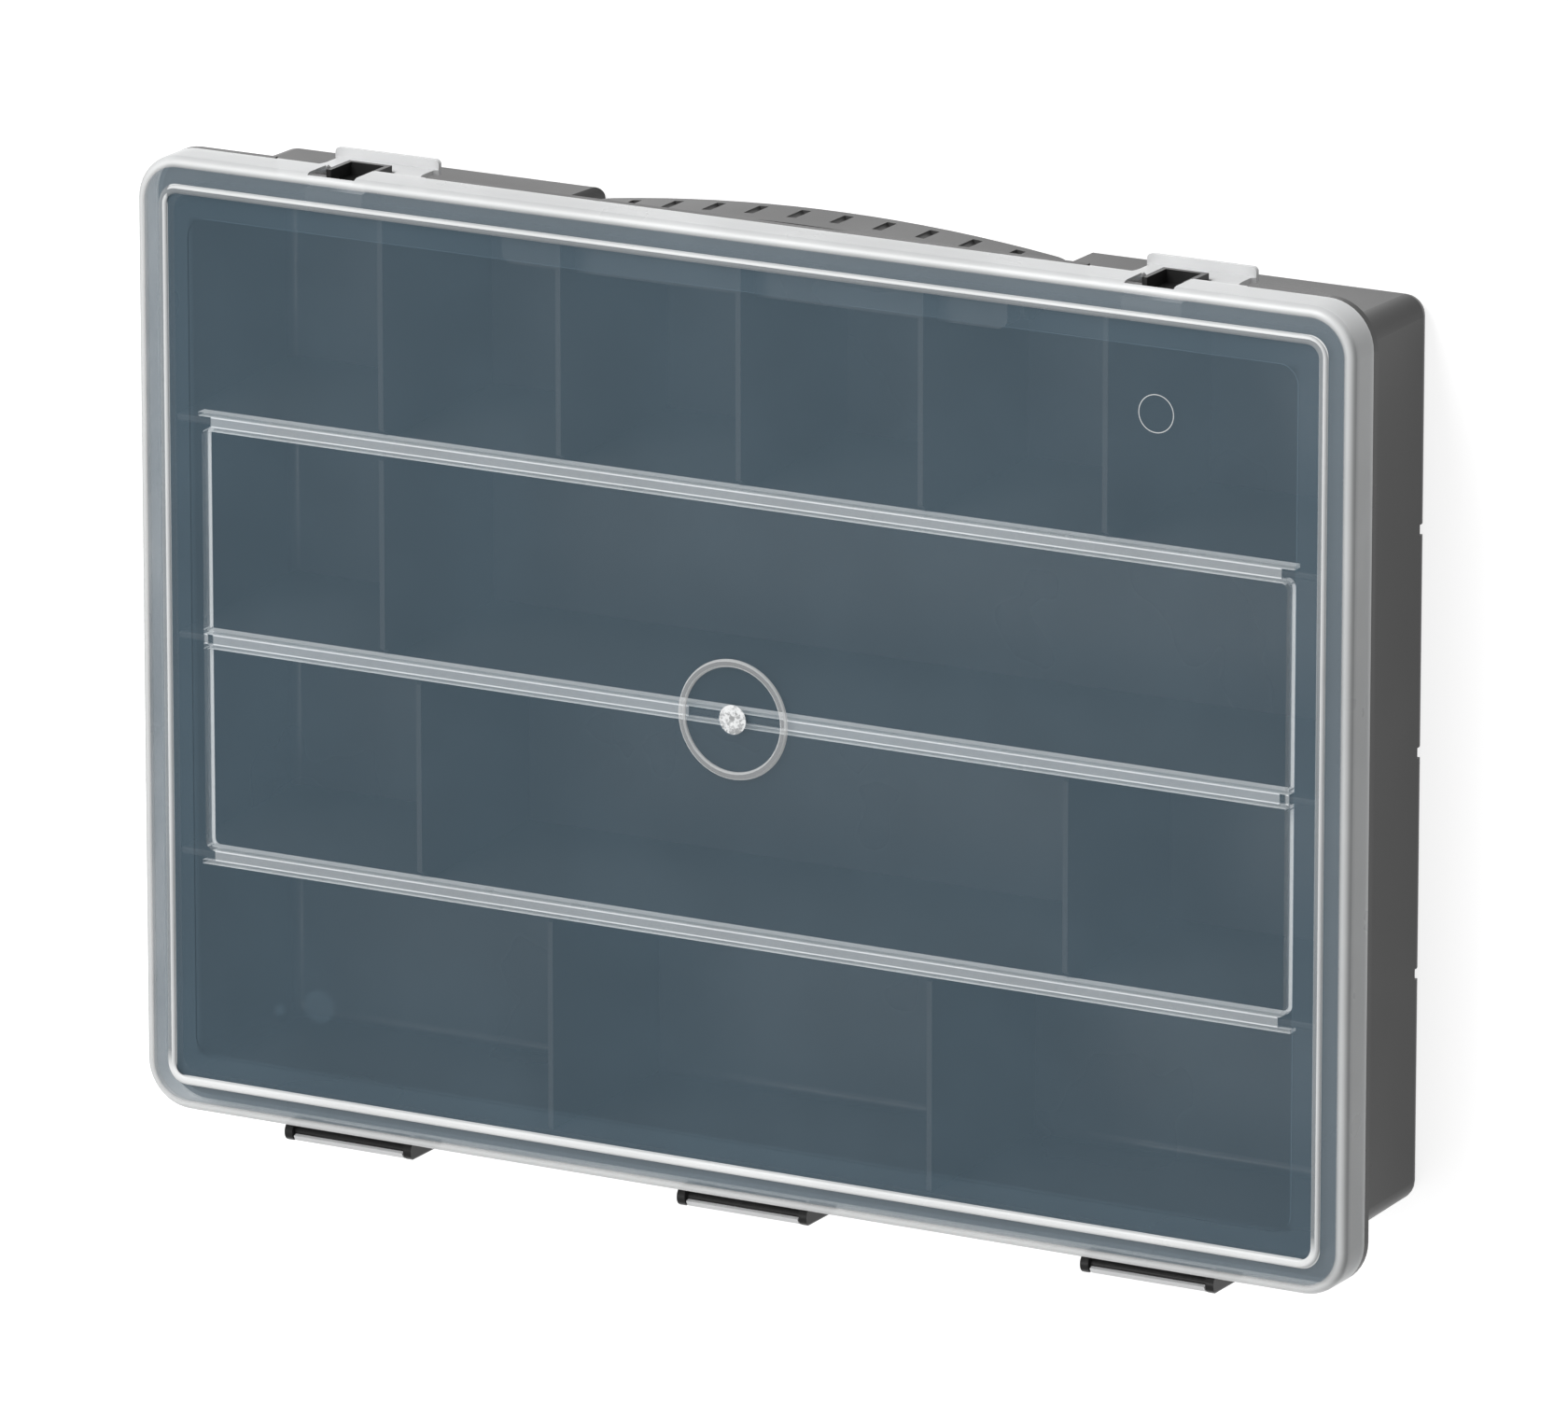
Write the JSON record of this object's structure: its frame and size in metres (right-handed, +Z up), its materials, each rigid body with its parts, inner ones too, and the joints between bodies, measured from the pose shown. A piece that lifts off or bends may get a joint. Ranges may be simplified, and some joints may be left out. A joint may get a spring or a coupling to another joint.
{
  "type": "compartment organizer box",
  "caption": "Flat parts organizer: dark tray with fixed compartments, translucent hinged lid, two snap latches and a fold-out carry handle.",
  "frame": {"origin": "centre of the box's own footprint (hinge ears included) at the surface that it lies on", "axes": "+Z up, out of the lid; -Y the handle side, +Y the hinge side; +X to the right seen from the handle"},
  "size_m": [0.335, 0.2494, 0.059],
  "materials": {
    "black_plastic": "satin moulded polypropylene",
    "clear_plastic": "translucent frosted polypropylene"
  },
  "bodies": {
    "tray": {"tray_shell": "black_plastic", "row_divider_front": "black_plastic", "row_divider_middle": "black_plastic", "row_divider_back": "black_plastic", "cell_divider_row1_1": "black_plastic", "cell_divider_row1_2": "black_plastic", "cell_divider_row1_3": "black_plastic", "cell_divider_row1_4": "black_plastic", "cell_divider_row1_5": "black_plastic", "cell_divider_row2_1": "black_plastic", "cell_divider_row3_1": "black_plastic", "cell_divider_row3_2": "black_plastic", "cell_divider_row4_1": "black_plastic", "cell_divider_row4_2": "black_plastic", "hinge_bracket_left": "black_plastic", "hinge_bracket_middle": "black_plastic", "hinge_bracket_right": "black_plastic", "hinge_pin_left": "black_plastic", "hinge_pin_middle": "black_plastic", "hinge_pin_right": "black_plastic", "latch_catch_left": "black_plastic", "latch_catch_right": "black_plastic"},
    "lid": {"lid": "clear_plastic", "lid_seal_ribs": "clear_plastic", "lid_hinge_hook_left": "clear_plastic", "lid_hinge_hook_middle": "clear_plastic", "lid_hinge_hook_right": "clear_plastic"},
    "latch_left": {"latch_left": "clear_plastic"},
    "latch_right": {"latch_right": "clear_plastic"},
    "handle": {"carry_handle": "black_plastic"}
  },
  "joints": [
    {"name": "lid_hinge", "type": "hinge", "parent": "tray", "child": "lid", "pos_m": [0, 0.12215, 0.0512], "axis": [-1, 0, 0], "range_deg": [0, 180]},
    {"name": "latch_left_flex", "type": "hinge", "parent": "lid", "child": "latch_left", "pos_m": [-0.1123, -0.12375, 0.04705], "axis": [-1, 0, 0], "range_deg": [0, 30], "stiffness_Nm_per_rad": 0.004},
    {"name": "latch_right_flex", "type": "hinge", "parent": "lid", "child": "latch_right", "pos_m": [0.1123, -0.12375, 0.04705], "axis": [-1, 0, 0], "range_deg": [0, 30], "stiffness_Nm_per_rad": 0.004},
    {"name": "handle_pivot", "type": "hinge", "parent": "tray", "child": "handle", "pos_m": [0, -0.11125, 0.038], "axis": [-1, 0, 0], "range_deg": [0, 90]}
  ]
}
